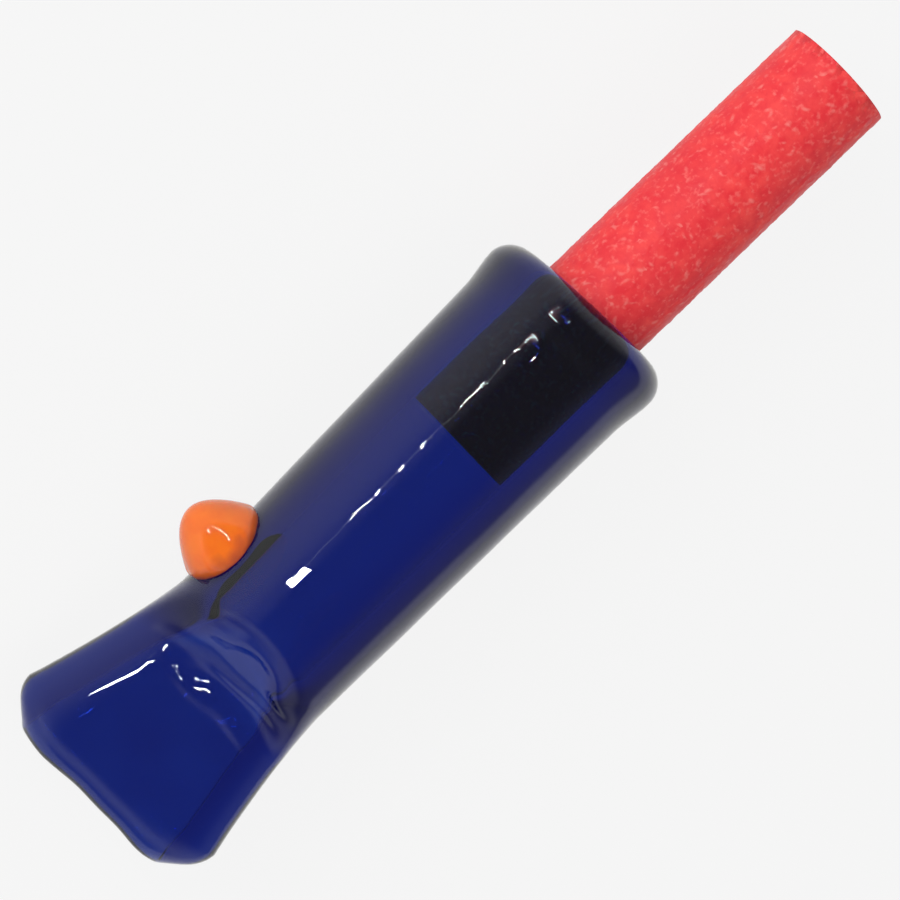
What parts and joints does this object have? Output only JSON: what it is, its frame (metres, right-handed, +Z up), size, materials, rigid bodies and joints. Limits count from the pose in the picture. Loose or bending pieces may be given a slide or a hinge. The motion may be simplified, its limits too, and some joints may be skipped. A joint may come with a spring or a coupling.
{
  "type": "glass mouthpiece",
  "caption": "Pinched-bill glass mouthpiece with a rolled collar, a fused side bead and a push-fit paper tube.",
  "frame": {"origin": "under the middle of the whole part, on the surface it lies on", "axes": "+X runs from the flat bill to the paper tube's open end, +Y is the side of the bead, +Z is up. The part lies as it comes to rest, on the collar and the shoulder, rolled towards the bead until the bill's edge meets the surface"},
  "size_m": [0.0848, 0.021, 0.0179],
  "materials": {
    "cobalt_glass": "fire polished, transparent cobalt blue",
    "orange_glass": "fire polished, opaque orange",
    "red_paper": "satin, fibre flecked",
    "grey_card": "matte, raw"
  },
  "bodies": {
    "glass": {"glass_body": "cobalt_glass", "side_bead": "orange_glass"},
    "tube": {"card_core": "grey_card", "paper_wrap": "red_paper"}
  },
  "joints": [
    {"name": "tube_slide", "type": "slide", "parent": "glass", "child": "tube", "axis": [0.999, -0.0177, 0.0399], "range_m": [0, 0.02]}
  ]
}
